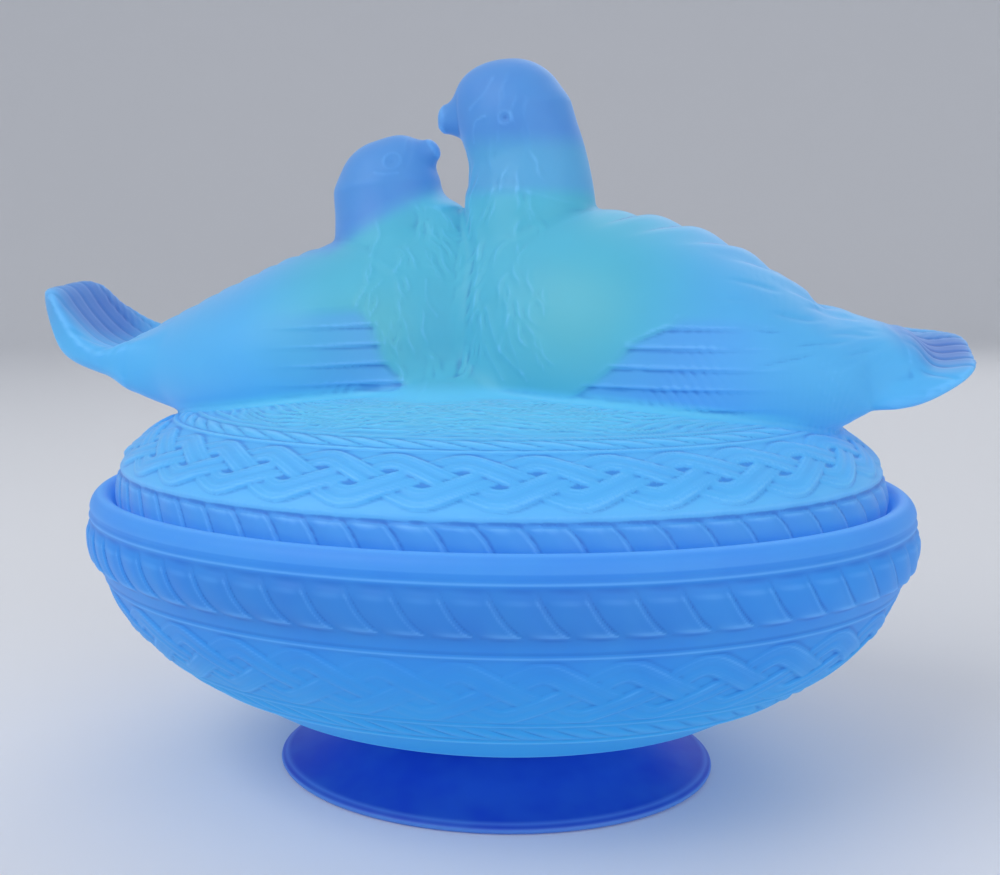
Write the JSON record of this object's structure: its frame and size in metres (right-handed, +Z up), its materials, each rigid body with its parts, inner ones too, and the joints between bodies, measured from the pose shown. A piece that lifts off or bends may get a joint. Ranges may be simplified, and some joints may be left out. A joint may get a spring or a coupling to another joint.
{
  "type": "covered oval glass dish",
  "caption": "Oval footed satin-glass dish with a lift-off domed lid; a pair of doves sitting breast to breast forms the lid's handle.",
  "frame": {"origin": "on the resting plane, under the centre of the overall box; the bowl's own axis stands 2.8 mm to the +X side, because one dove's tail reaches further than the other's", "axes": "+X along the oval towards the taller dove's tail, +Z up"},
  "size_m": [0.165, 0.113, 0.1234],
  "materials": {
    "dish_glass": "satin, acid-etched, softly glowing under ultraviolet light",
    "lid_glass": "satin, acid-etched, softly glowing under ultraviolet light"
  },
  "bodies": {
    "dish": {"dish": "dish_glass"},
    "lid": {"lid": "lid_glass"}
  },
  "joints": [
    {"name": "lid_lift", "type": "slide", "parent": "dish", "child": "lid", "axis": [0, 0, 1], "range_m": [0, 0.09]}
  ]
}
